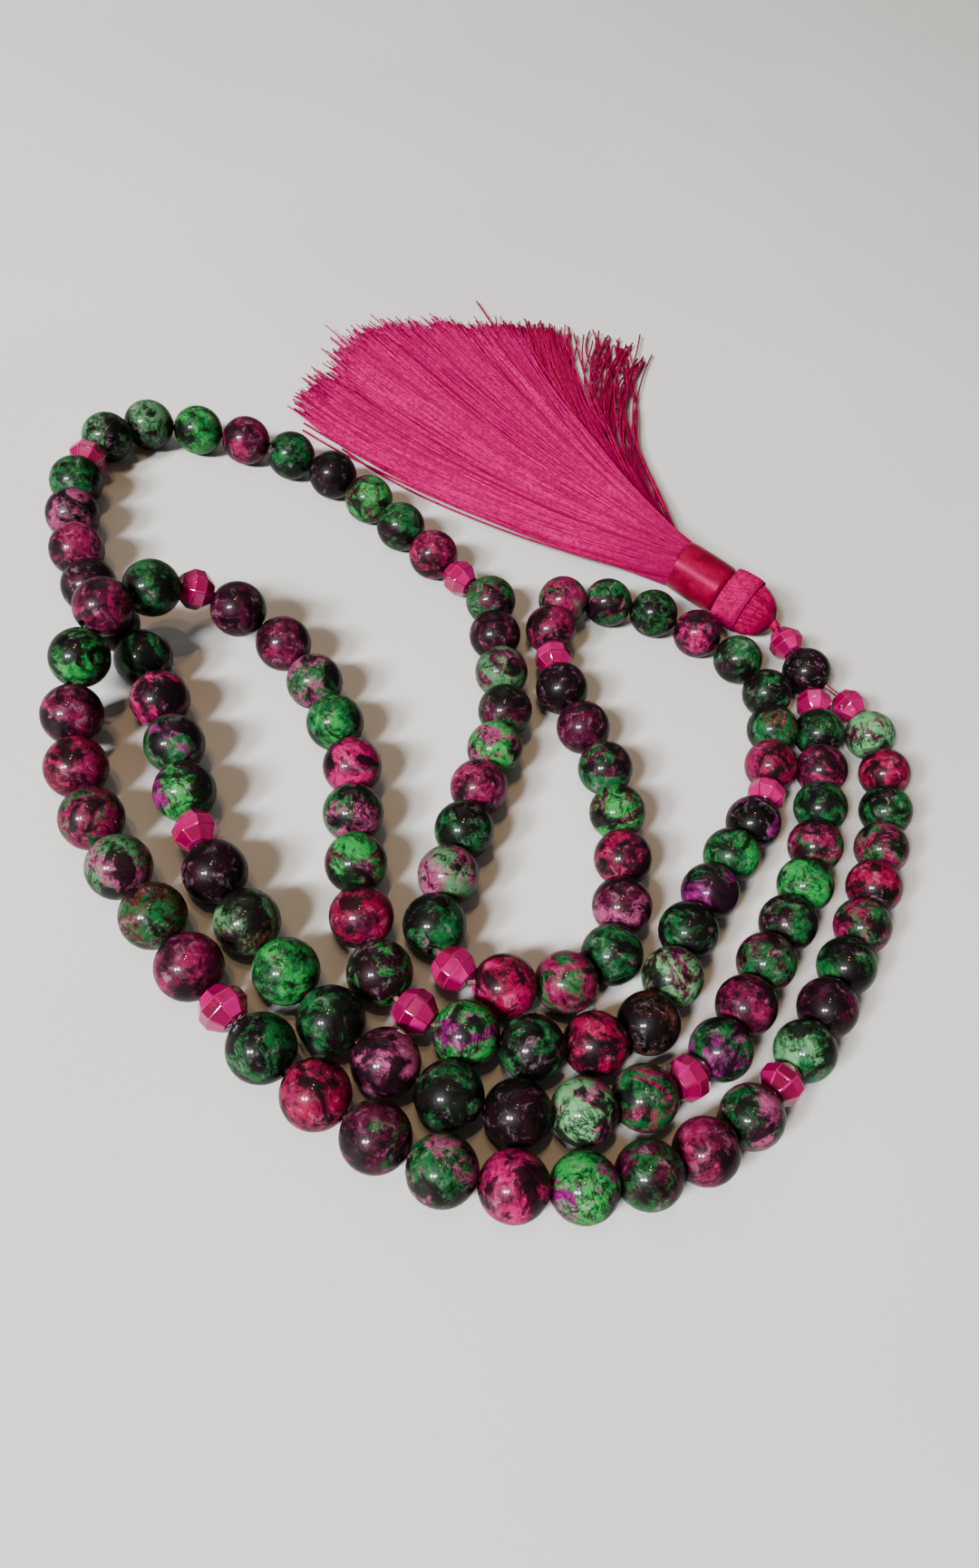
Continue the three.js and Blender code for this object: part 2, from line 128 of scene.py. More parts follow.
# The photograph's camera, over the point where the route's x and y are 0
CAMERA_HEIGHT = 123.4 * MM
CAMERA_TILT = 47.9  # degrees below level, looking along +Y
CAMERA_ROLL = 20.8
CAMERA_LENS = 26.64  # millimetres
CAMERA_SENSOR = 36  # millimetres, along the photograph's longer side

# The tassel's fan from its lower edge round to its right edge, in degrees and shares of its length
FAN = [
    {"bearing": 174, "reach": 0.87, "leave": 10, "arrive": -18},
    {"bearing": 165, "reach": 0.9, "leave": 7, "arrive": -10},
    {"bearing": 153, "reach": 0.98, "leave": 4, "arrive": -4},
    {"bearing": 142, "reach": 1.0, "leave": 3, "arrive": 0},
    {"bearing": 132, "reach": 0.93, "leave": 4, "arrive": 0},
    {"bearing": 122, "reach": 0.96, "leave": 6, "arrive": -3},
    {"bearing": 113, "reach": 0.95, "leave": 9, "arrive": -5},
    {"bearing": 104, "reach": 0.94, "leave": 13, "arrive": -4},
]

# Colours of the stones' rock, sRGB, deeper than they look once the window light is on them
STONES = {
    "g": "083618",  # dark green
    "G": "125A24",  # green
    "s": "2A4A2E",  # grey green
    "w": "3A6440",  # pale green
    "k": "010301",  # black
    "M": "120208",  # the darkest maroon
    "m": "2E0318",  # maroon
    "r": "520629",  # rose
    "R": "5A0022",  # crimson
    "h": "74003A",  # hot rose
    "p": "622442",  # pale rose
    "v": "50003E",  # violet
    "b": "301612",  # brown
}

# The stones of each group in order from the guru bead, each as its main and its second colour
GROUP_COLOURS = [
    "wm Rm gk rg Rk rg kg Mm gw",
    "pg rm gm Gv hr gp mg Rr gk",
    "rm gb sp rg Rr mr Gk mr gk",
    "Mm mr gp gG hm pg Gm Rm GM",
    "Gv kg RM kb wm gk vg gG kv",
    "Rr gb kg gM mh kg gm rg rm",
    "Mk mM gm Gm Rm mp kg rg Rh",
    "kg sp gk rp Gp mg sm Mm gm",
    "rR gM Gm Mk gk rm gG sk ks",
    "gk pk rp Mm mg gk hM gv Gv",
    "Mk sb Gg gk pm gk kM wp gr",
    "gv mr mg Mg Gg rg gk rm gk",
]

# Lamp light and window light, linear
LAMP_COLOUR = (1.0, 0.65, 0.36)
WINDOW_COLOUR = (0.97, 0.98, 1.0)

rng = np.random.default_rng(SEED)


def linear(hex_colour):
    """An sRGB colour written as six hex digits, as linear RGBA."""
    parts = [int(hex_colour[i : i + 2], 16) / 255 for i in (0, 2, 4)]
    return [p / 12.92 if p <= 0.04045 else ((p + 0.055) / 1.055) ** 2.4 for p in parts] + [1.0]


def heading(degrees):
    """A level direction, in degrees from +X towards +Y."""
    turn = math.radians(degrees)
    return Vector((math.cos(turn), math.sin(turn), 0))


# The string's route


def trace_path(scale):
    """Fine points of a Catmull-Rom curve through the route, widened by a scale."""
    points = [
        np.array((x * scale, y * scale, STONE_RADIUS * (1 + 2 * lift))) for x, y, lift in ROUTE
    ]
    points = [2 * points[0] - points[1]] + points + [2 * points[-1] - points[-2]]
    path = []
    for i in range(len(points) - 3):
        before, start, end, after = points[i : i + 4]
        leave = (end - before) / 2
        arrive = (after - start) / 2
        for j in range(STEPS_BETWEEN_POINTS):
            t = j / STEPS_BETWEEN_POINTS
            path.append(
                (2 * t**3 - 3 * t**2 + 1) * start
                + (t**3 - 2 * t**2 + t) * leave
                + (3 * t**2 - 2 * t**3) * end
                + (t**3 - t**2) * arrive
            )
    path.append(points[-2])
    for point in path:
        point[2] = max(point[2], STONE_RADIUS)
    return path


def place_along(path, steps):
    """Centres along a path at the given straight distances, as many as it has room for."""
    centres = [path[0]]
    after = 1
    for distance in steps:
        here = centres[-1]
        while after < len(path) and np.linalg.norm(path[after] - here) < distance:
            after += 1
        if after == len(path):
            break
        near = np.linalg.norm(path[after - 1] - here)
        far = np.linalg.norm(path[after] - here)
        share = (distance - near) / (far - near)
        centres.append(path[after - 1] * (1 - share) + path[after] * share)
    return centres


def lay_string():
    """The beads in order, each a dict with its kind, centre, axis and the ends of its bore."""
    kinds = ["guru", "crystal"] + (["stone"] * STONES_IN_GROUP + ["crystal"]) * GROUPS + ["guru"]
    half = {
        "guru": STONE_RADIUS,
        "stone": STONE_RADIUS,
        "crystal": CRYSTAL_LENGTH / 2 + CRYSTAL_PLAY,
    }
    steps = [half[a] + half[b] for a, b in zip(kinds, kinds[1:])]
    steps[0] += SLACK_FIRST
    steps[-1] += SLACK_LAST
    low, high = 0.2, 5.0
    for _ in range(SCALE_PASSES):
        scale = (low + high) / 2
        if len(place_along(trace_path(scale), steps)) < len(kinds):
            low = scale
        else:
            high = scale
    centres = place_along(trace_path(high), steps)
    low_corner, high_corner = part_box("guru_bead")
    shift = (Vector(low_corner) + Vector(high_corner)) / 2 - Vector(centres[0])
    shift.z = 0
    beads = [{"kind": k, "centre": Vector(c) + shift} for k, c in zip(kinds, centres)]
    beads[-1]["centre"] = beads[0]["centre"]
    for i, bead in enumerate(beads):
        if bead["kind"] == "crystal":
            bead["axis"] = (beads[i + 1]["centre"] - beads[i - 1]["centre"]).normalized()
            mouth = bead["axis"] * (CRYSTAL_LENGTH + CRYSTAL_PLAY) / 2
            bead["start"] = bead["centre"] - mouth
            bead["end"] = bead["centre"] + mouth
    for i, bead in enumerate(beads):
        if bead["kind"] == "stone":
            before, after = beads[i - 1], beads[i + 1]
            bead["start"] = before.get("end", (before["centre"] + bead["centre"]) / 2)
            between = (after["centre"] + bead["centre"]) / 2
            bead["end"] = after["start"] if after["kind"] == "crystal" else between
            bead["axis"] = (bead["end"] - bead["start"]).normalized()
    return beads, shift


# Materials


def feed(tree, socket, value):
    """Links a socket into another, or sets that other one to a plain value."""
    if isinstance(value, bpy.types.NodeSocket):
        tree.links.new(value, socket)
    else:
        socket.default_value = value


def node(tree, kind, settings=None, **inputs):
    """Adds a node, with its plain settings and its inputs by name: a value, or a socket to link."""
    added = tree.nodes.new(kind)
    for key, value in (settings or {}).items():
        setattr(added, key, value)
    for key, value in inputs.items():
        feed(tree, added.inputs[key.replace("_", " ")], value)
    return added


def ramp(tree, factor, *stops):
    """A colour ramp over stops of position and grey value."""
    added = node(tree, "ShaderNodeValToRGB", Fac=factor)
    elements = added.color_ramp.elements
    while len(elements) < len(stops):
        elements.new(1)
    for element, (position, value) in zip(elements, stops):
        element.position = position
        element.color = (value, value, value, 1)
    return added.outputs["Color"]


def mix(tree, share, a, b):
    """Two colours mixed by a share of the second."""
    added = tree.nodes.new("ShaderNodeMix")
    added.data_type = "RGBA"
    for index, value in ((0, share), (6, a), (7, b)):
        feed(tree, added.inputs[index], value)
    return added.outputs[2]


def calculate(tree, operation, *values):
    """The result of one maths node on values, each a number or a socket."""
    added = node(tree, "ShaderNodeMath", {"operation": operation})
    for socket, value in zip(added.inputs, values):
        feed(tree, socket, value)
    return added.outputs[0]


def noise(tree, size, detail, roughness, distortion=0.0):
    """Noise with patches of about that size in metres, on object coordinates."""
    added = node(
        tree,
        "ShaderNodeTexNoise",
        Vector=node(tree, "ShaderNodeTexCoord").outputs["Object"],
        Scale=1 / size,
        Detail=detail,
        Roughness=roughness,
        Distortion=distortion,
    )
    return added.outputs["Fac"]


def attribute(tree, name):
    """The outputs of a node that reads one of the mesh's own attributes."""
    return node(tree, "ShaderNodeAttribute", {"attribute_name": name}).outputs


def bump(tree, height, distance, strength):
    """A normal that follows a height, with its full depth in metres and its strength."""
    added = node(tree, "ShaderNodeBump", Height=height, Distance=distance, Strength=strength)
    return added.outputs["Normal"]


def roughen(tree, shader, source, low, high):
    """Sets a shader's roughness between two values, by a socket that runs from 0 to 1."""
    rough = node(tree, "ShaderNodeMapRange", Value=source, To_Min=low, To_Max=high)
    tree.links.new(rough.outputs["Result"], shader.inputs["Roughness"])


def new_material(name, **constants):
    """A material with one Principled shader, whose plain values are set on its own sockets."""
    material = bpy.data.materials.new(name)
    material.use_nodes = True
    tree = material.node_tree
    shader = tree.nodes["Principled BSDF"]
    for key, value in constants.items():
        shader.inputs[key.replace("_", " ")].default_value = value
    return material, tree, shader


def stone_material():
    """Rock cut round and tumbled: each bead's two colours meet in grainy patches, with pale clouds,
    black veins and the small sharp highlights that a polish gives. Large near-black patches on
    each bead are painted shade."""
    material, tree, shader = new_material(
        "polished_mottled_stone",
        Specular_IOR_Level=0.04,
        Coat_Weight=0.11,
        Coat_Roughness=0.02,
        Coat_IOR=1.5,
    )
    main = attribute(tree, "main_colour")["Color"]
    second = attribute(tree, "second_colour")["Color"]
    patches = ramp(tree, noise(tree, 4.4 * MM, 6, 0.68, 0.7), (0.48, 0), (0.56, 1))
    colour = mix(tree, patches, main, second)
    clouds = ramp(tree, noise(tree, 1.5 * MM, 6, 0.74, 0.6), (0.54, 0), (0.68, 0.34))
    colour = mix(tree, clouds, colour, linear("7C606C"))
    grain = noise(tree, 1.5 * MM, 6, 0.74, 0.8)
    colour = mix(tree, ramp(tree, grain, (0.38, 0.92), (0.48, 0)), colour, linear("030503"))
    # Painted shade: large near-black patches over each bead darken it as shade would. They are not a
    # colour of the rock.
    painted_shade = ramp(tree, noise(tree, 4.8 * MM, 6, 0.66, 0.5), (0.505, 0), (0.57, 0.95))
    colour = mix(tree, painted_shade, colour, linear("050304"))
    veins = noise(tree, 3.0 * MM, 6, 0.7, 1.6)
    vein_mask = ramp(tree, veins, (0.45, 0), (0.485, 0.92), (0.515, 0.92), (0.55, 0))
    cover = ramp(tree, noise(tree, 3.8 * MM, 2, 0.5), (0.42, 1), (0.58, 0))
    vein_share = calculate(tree, "MULTIPLY", vein_mask, cover)
    colour = mix(tree, vein_share, colour, linear("090406"))
    tree.links.new(colour, shader.inputs["Base Color"])
    roughen(tree, shader, grain, 0.3, 0.5)
    pits = noise(tree, 0.7 * MM, 4, 0.7)
    tree.links.new(bump(tree, pits, 0.05 * MM, 0.7), shader.inputs["Normal"])
    tree.links.new(bump(tree, pits, 0.02 * MM, 0.4), shader.inputs["Coat Normal"])
    return material


def crystal_material():
    """Glass dyed fuchsia and cut: each facet is painted lighter or darker at random, from deep
    crimson to hot pink, as painted light and shade on the facets, and some of the light goes through."""
    material, tree, shader = new_material(
        "dyed_fuchsia_glass", Transmission_Weight=0.4, IOR=1.5, Specular_IOR_Level=0.55
    )
    # Painted light and shade: each facet's random share turns it from deep crimson to hot pink, as if
    # lit or shaded.
    facet = ramp(tree, attribute(tree, "painted_facet_light")["Fac"], (0.1, 0), (0.95, 1))
    depth = noise(tree, 2.5 * MM, 2, 0.5)
    colour = mix(tree, facet, linear("520024"), linear("A40060"))
    colour = mix(tree, ramp(tree, depth, (0.4, 0.5), (0.6, 0)), colour, linear("6C002C"))
    tree.links.new(colour, shader.inputs["Base Color"])
    roughen(tree, shader, depth, 0.05, 0.15)
    return material


def silk_material(name, deep, bright, tip, painted_glitter=0.7):
    """Twisted silk thread: each has a tint of its own and a fine glitter from its twist, painted into
    the colour as darker flecks between brighter bits and also bumped, drawn coarser than it is so
    that it shows. It's deeper where it leaves the band, and dark at the cut tips."""
    material, tree, shader = new_material(
        name, Specular_IOR_Level=0.08, Specular_Tint=(1.0, 0.03, 0.35, 1.0)
    )
    tint = attribute(tree, "tint")["Fac"]
    along = attribute(tree, "along")["Fac"]
    colour = mix(tree, tint, linear(deep), linear(bright))
    twist = noise(tree, 0.7 * MM, 3, 0.7)
    # Painted glitter: the twist noise darkens the colour in flecks, so the brighter bits between them
    # read as glints.
    colour = mix(tree, ramp(tree, twist, (0.42, painted_glitter), (0.54, 0)), colour, linear(deep))
    colour = mix(tree, ramp(tree, along, (0.0, 0.7), (0.22, 0)), colour, linear(deep))
    colour = mix(tree, ramp(tree, along, (0.98, 0), (0.998, 0.7)), colour, linear(tip))
    tree.links.new(colour, shader.inputs["Base Color"])
    roughen(tree, shader, tint, 0.5, 0.3)
    tree.links.new(bump(tree, twist, 0.05 * MM, 0.6), shader.inputs["Normal"])
    return material


def satin_material():
    """Satin thread wound tight round the bundle: one broad soft highlight along it, dark below."""
    material, tree, shader = new_material(
        "wound_satin", Specular_IOR_Level=0.3, Specular_Tint=(1.0, 0.08, 0.35, 1.0)
    )
    turns = calculate(tree, "MULTIPLY", attribute(tree, "along")["Fac"], 2 * math.pi * BAND_TURNS)
    wave = calculate(tree, "SINE", turns)
    stretch = noise(tree, 2.2 * MM, 3, 0.6)
    colour = mix(tree, ramp(tree, stretch, (0.3, 0), (0.7, 1)), linear("3C0010"), linear("58001A"))
    tree.links.new(colour, shader.inputs["Base Color"])
    roughen(tree, shader, stretch, 0.26, 0.38)
    tree.links.new(bump(tree, wave, 0.04 * MM, 0.35), shader.inputs["Normal"])
    return material


def thread_material():
    """The stringing thread, twisted from two dyed plies: dull, with a grain that is drawn coarser
    than the plies are so that it shows."""
    material, tree, shader = new_material("stringing_thread", Roughness=0.6)
    ply = noise(tree, 0.5 * MM, 2, 0.5)
    colour = mix(tree, ramp(tree, ply, (0.35, 0), (0.65, 1)), linear("2A020C"), linear("5A0420"))
    tree.links.new(colour, shader.inputs["Base Color"])
    tree.links.new(bump(tree, ply, 0.05 * MM, 0.6), shader.inputs["Normal"])
    return material


def table_material():
    """A pale laminate table top: satin, with a faint cloudiness."""
    material, tree, shader = new_material("pale_table", Specular_IOR_Level=0.3, Roughness=0.5)
    cloud = noise(tree, 120 * MM, 2, 0.5)
    colour = mix(tree, ramp(tree, cloud, (0.3, 0), (0.7, 1)), linear("9F9E9C"), linear("A6A5A3"))
    tree.links.new(colour, shader.inputs["Base Color"])
    return material


# Geometry Nodes


def evaluate(name, mesh, tree, values):
    """Runs a node tree over a mesh and gives the result as a plain object."""
    source = bpy.data.objects.new(name + "_source", mesh)
    bpy.context.scene.collection.objects.link(source)
    modifier = source.modifiers.new("build", "NODES")
    modifier.node_group = tree
    for item in tree.interface.items_tree:
        if item.item_type == "SOCKET" and item.in_out == "INPUT" and item.name in values:
            modifier[item.identifier] = values[item.name]
    bpy.context.view_layer.update()
    depsgraph = bpy.context.evaluated_depsgraph_get()
    made = bpy.data.meshes.new_from_object(source.evaluated_get(depsgraph), depsgraph=depsgraph)
    made.name = name
    result = bpy.data.objects.new(name, made)
    bpy.context.scene.collection.objects.link(result)
    bpy.data.objects.remove(source)
    return result


def new_tree(name, sockets):
    """An empty geometry tree with its named inputs, given as (name, kind, value)."""
    tree = bpy.data.node_groups.new(name, "GeometryNodeTree")
    tree.interface.new_socket("Geometry", in_out="INPUT", socket_type="NodeSocketGeometry")
    for label, kind, value in sockets:
        socket = tree.interface.new_socket(label, in_out="INPUT", socket_type=kind)
        if value is not None:
            socket.default_value = value
    tree.interface.new_socket("Geometry", in_out="OUTPUT", socket_type="NodeSocketGeometry")
    return tree, tree.nodes.new("NodeGroupInput"), tree.nodes.new("NodeGroupOutput")


def point_value(tree, name, kind):
    """A named attribute of the points, as a socket."""
    added = node(tree, "GeometryNodeInputNamedAttribute", {"data_type": kind}, Name=name)
    return added.outputs["Attribute"]


def bead_tree():
    """Puts a copy of one bead on each point, along the point's axis and turned by its spin."""
    tree, given, out = new_tree(
        "beads_on_a_string",
        [
            ("Bead", "NodeSocketObject", None),
            ("Size", "NodeSocketFloat", 1.0),
            ("Finish", "NodeSocketMaterial", None),
        ],
    )
    bead = node(tree, "GeometryNodeObjectInfo", Object=given.outputs["Bead"])
    axis = point_value(tree, "axis", "FLOAT_VECTOR")
    spin = point_value(tree, "spin", "FLOAT")
    aim = node(tree, "FunctionNodeAlignRotationToVector", {"axis": "Z"}, Vector=axis)
    turn = node(tree, "FunctionNodeAxisAngleToRotation", Axis=(0, 0, 1), Angle=spin)
    turned = node(tree, "FunctionNodeRotateRotation", {"rotation_space": "LOCAL"})
    tree.links.new(aim.outputs[0], turned.inputs[0])
    tree.links.new(turn.outputs[0], turned.inputs[1])
    copies = node(
        tree,
        "GeometryNodeInstanceOnPoints",
        Points=given.outputs["Geometry"],
        Instance=bead.outputs["Geometry"],
        Rotation=turned.outputs[0],
        Scale=given.outputs["Size"],
    )
    real = node(tree, "GeometryNodeRealizeInstances", Geometry=copies.outputs["Instances"])
    finish = node(
        tree,
        "GeometryNodeSetMaterial",
        Geometry=real.outputs["Geometry"],
        Material=given.outputs["Finish"],
    )
    tree.links.new(finish.outputs["Geometry"], out.inputs["Geometry"])
    return tree


def thread_tree():
    """Turns each line of edges into a thread, its radius times the thickness at each point."""
    tree, given, out = new_tree(
        "threads_on_lines",
        [
            ("Radius", "NodeSocketFloat", 0.15 * MM),
            ("Sides", "NodeSocketInt", 3),
            ("Finish", "NodeSocketMaterial", None),
        ],
    )
    curves = node(tree, "GeometryNodeMeshToCurve", Mesh=given.outputs["Geometry"])
    section = node(
        tree,
        "GeometryNodeCurvePrimitiveCircle",
        Resolution=given.outputs["Sides"],
        Radius=given.outputs["Radius"],
    )
    tube = node(
        tree,
        "GeometryNodeCurveToMesh",
        Curve=curves.outputs["Curve"],
        Profile_Curve=section.outputs["Curve"],
        Scale=point_value(tree, "thickness", "FLOAT"),
        Fill_Caps=True,
    )
    smooth = node(tree, "GeometryNodeSetShadeSmooth", Geometry=tube.outputs["Mesh"])
    finish = node(
        tree,
        "GeometryNodeSetMaterial",
        Geometry=smooth.outputs["Geometry"],
        Material=given.outputs["Finish"],
    )
    tree.links.new(finish.outputs["Geometry"], out.inputs["Geometry"])
    return tree


def add_attribute(mesh, name, kind, values):
    """Stores one value for each point of a mesh."""
    key = {"FLOAT": "value", "FLOAT_VECTOR": "vector", "FLOAT_COLOR": "color"}[kind]
    layer = mesh.attributes.new(name, kind, "POINT")
    layer.data.foreach_set(key, np.asarray(values, dtype=np.float32).ravel())


def threads(name, lines, radius, sides, finish, tint, thickness=None):
    """Threads along lines, an array of line by point by coordinate. tint is one number a line."""
    lines = np.asarray(lines, dtype=np.float32)
    count, length, _ = lines.shape
    first = np.arange(count)[:, None] * length + np.arange(length - 1)[None, :]
    edges = np.stack([first, first + 1], axis=-1).reshape(-1, 2)
    mesh = bpy.data.meshes.new(name + "_lines")
    mesh.from_pydata(lines.reshape(-1, 3).tolist(), edges.tolist(), [])
    along = np.tile(np.linspace(0, 1, length), count)
    add_attribute(mesh, "along", "FLOAT", along)
    add_attribute(mesh, "tint", "FLOAT", np.repeat(tint, length))
    profile = np.ones(length) if thickness is None else np.asarray(thickness)
    add_attribute(mesh, "thickness", "FLOAT", np.tile(profile, count))
    values = {"Radius": radius, "Sides": sides, "Finish": finish}
    return evaluate(name, mesh, TREES["threads"], values)


def beads_at(name, beads, spins, shape, finish, colours=None):
    """Copies of one bead's mesh at the beads' centres, each with its own pair of colours."""
    mesh = bpy.data.meshes.new(name + "_points")
    mesh.from_pydata([bead["centre"] for bead in beads], [], [])
    add_attribute(mesh, "axis", "FLOAT_VECTOR", [bead["axis"] for bead in beads])
    add_attribute(mesh, "spin", "FLOAT", spins)
    if colours:
        for index, label in enumerate(("main_colour", "second_colour")):
            chosen = [linear(STONES[pair[index]]) for pair in colours]
            add_attribute(mesh, label, "FLOAT_COLOR", chosen)
    return evaluate(name, mesh, TREES["beads"], {"Bead": shape, "Size": 1.0, "Finish": finish})


# Shapes that are repeated


def lathe(name, rows, sides, closed):
    """Rings of faces round +Z through rows of (radius, height), smooth shaded.

    closed joins the last row to the first, and else each end gets a cap."""
    made = bmesh.new()
    turns = [2 * math.pi * k / sides for k in range(sides)]
    rings = [
        [made.verts.new((radius * math.cos(a), radius * math.sin(a), height)) for a in turns]
        for radius, height in rows
    ]
    pairs = list(zip(rings, rings[1:]))
    if closed:
        pairs.append((rings[-1], rings[0]))
    for low, high in pairs:
        for k in range(sides):
            made.faces.new((low[k], low[(k + 1) % sides], high[(k + 1) % sides], high[k]))
    if not closed:
        made.faces.new(rings[0][::-1])
        made.faces.new(rings[-1])
    bmesh.ops.recalc_face_normals(made, faces=made.faces)
    mesh = bpy.data.meshes.new(name)
    made.to_mesh(mesh)
    made.free()
    mesh.polygons.foreach_set("use_smooth", [True] * len(mesh.polygons))
    return bpy.data.objects.new(name, mesh)


def stone_shape():
    """A round stone with a bore along Z, its rim softly broken."""
    mouth = math.asin(BORE_RADIUS * 1.35 / STONE_RADIUS)
    turns = np.linspace(mouth, math.pi - mouth, STONE_ROWS)
    rows = [(STONE_RADIUS * math.sin(a), STONE_RADIUS * math.cos(a)) for a in turns]
    rim = STONE_RADIUS * math.cos(mouth) - 0.12 * MM
    rows += [(BORE_RADIUS, -rim), (BORE_RADIUS, rim)]
    return lathe("stone_shape", rows, STONE_SIDES, closed=True)


def crystal_shape():
    """A cut crystal: a belt of facets and a row each side, their edges worn soft, and a bore."""
    half = CRYSTAL_LENGTH / 2
    rows = [
        (BORE_RADIUS, half),
        (0.6 * CRYSTAL_RADIUS, half),
        (CRYSTAL_RADIUS, 0.32 * half),
        (CRYSTAL_RADIUS, -0.32 * half),
        (0.6 * CRYSTAL_RADIUS, -half),
        (BORE_RADIUS, -half),
    ]
    crystal = lathe("crystal_shape", rows, CRYSTAL_FACETS, closed=True)
    made = bmesh.new()
    made.from_mesh(crystal.data)
    outer = [e for e in made.edges if max(v.co.xy.length for v in e.verts) > 1.5 * BORE_RADIUS]
    bmesh.ops.bevel(made, geom=outer, offset=CRYSTAL_EDGE, segments=2, affect="EDGES", profile=0.5)
    made.to_mesh(crystal.data)
    made.free()
    faces = crystal.data.polygons
    faces.foreach_set("use_smooth", [face.area < FLAT_FACET_AREA for face in faces])
    # A random share for each face, which the glass paints as light or shade on that facet.
    painted_facet_shares = np.random.default_rng(SEED).uniform(0, 1, len(faces))
    crystal.data.attributes.new("painted_facet_light", "FLOAT", "FACE").data.foreach_set("value", painted_facet_shares)
    return crystal


# The tassel


def place_tassel(guru):
    """Places along the tassel, in line from the guru bead."""
    crystal_reach = STONE_RADIUS + CRYSTAL_PLAY + CRYSTAL_LENGTH / 2
    cord_length = crystal_reach + CRYSTAL_LENGTH / 2 + CRYSTAL_PLAY + CORD_SHOWN
    nose = guru + heading(CORD_HEADING) * cord_length
    nose.z = HEAD_RADIUS
    axis = heading(TASSEL_HEADING)
    cord_axis = (nose - guru).normalized()
    band_start = nose + axis * (HEAD_LENGTH + TASSEL_GAP)
    return {
        "nose": nose,
        "axis": axis,
        "cord_axis": cord_axis,
        "band_start": band_start,
        "band_end": band_start + axis * BAND_LENGTH,
        "crystal": guru + cord_axis * crystal_reach,
    }


def fan_at(share, key):
    """A column of the fan's table at shares from its lower edge to its right edge."""
    return np.interp(share, np.linspace(0, 1, len(FAN)), [row[key] for row in FAN])


def skirt_lines(tassel, share, level, reach, wave, steps, stray=0.0, curl=0.0, mingle=0.0):
    """Lines of the skirt's threads, one for each share round the fan, level in the pile and reach.

    wave is how far each sways, stray turns it off the fan's bearing and curl bends it, in degrees.
    mingle is how far its root is from its lock's, as a share of the fan."""
    count = len(share)
    bearing = np.radians(fan_at(share, "bearing") + stray)
    leave = bearing + np.radians(fan_at(share, "leave") + curl)
    arrive = bearing + np.radians(fan_at(share, "arrive") - curl)
    length = SKIRT_LENGTH * fan_at(share, "reach") * reach
    axis = np.array(tassel["axis"])
    sideways = np.array((axis[1], -axis[0], 0))
    bundle = BAND_RADIUS - 0.35 * MM
    across = (np.clip(share + rng.normal(0, 1, count) * mingle, 0, 1) - 0.5) * 2 * bundle * 0.97
    tall = np.sqrt(np.maximum(bundle**2 - across**2, 0))
    foot = np.array(tassel["band_end"]) - axis * SKIRT_ROOT_DEPTH
    foot[2] = 0
    base = np.array(tassel["band_end"])
    base[2] = 0
    root = foot + sideways * across[:, None]

    def flat(turn):
        return np.stack([np.cos(turn), np.sin(turn), np.zeros(count)], axis=-1)

    tip = base + flat(bearing) * length[:, None]
    first = root + axis * SKIRT_STRAIGHT + flat(leave) * (length * 0.3)[:, None]
    second = tip - flat(arrive) * (length * 0.35)[:, None]
    along = np.linspace(0, 1, steps)
    t = along[None, :, None]
    lines = (
        (1 - t) ** 3 * root[:, None]
        + 3 * (1 - t) ** 2 * t * first[:, None]
        + 3 * (1 - t) * t**2 * second[:, None]
        + t**3 * tip[:, None]
    )
    root_height = HEAD_RADIUS + (level * 2 - 1) * tall
    tip_height = SKIRT_TIP_LOWEST + level * SKIRT_TIP_PILE
    fall = (1 - along) ** 1.6
    lines[:, :, 2] = tip_height[:, None] + (root_height - tip_height)[:, None] * fall[None, :]
    phase = rng.uniform(0, 2 * math.pi, (count, 1))
    turns = rng.uniform(1.0, 2.2, (count, 1))
    sway = np.sin(phase + turns * 2 * math.pi * along[None, :]) * along[None, :]
    normal = np.stack([-np.sin(bearing), np.cos(bearing), np.zeros(count)], axis=-1)
    lines += normal[:, None, :] * (sway * wave[:, None])[:, :, None]
    return lines


def locked(count, low, high, locks, spread):
    """Shares of the fan for a count of threads, gathered into locks, and the lock of each."""
    centre = rng.uniform(low, high, locks)
    chosen = rng.integers(0, locks, count)
    return np.clip(centre[chosen] + rng.normal(0, spread, count), 0, 1), chosen


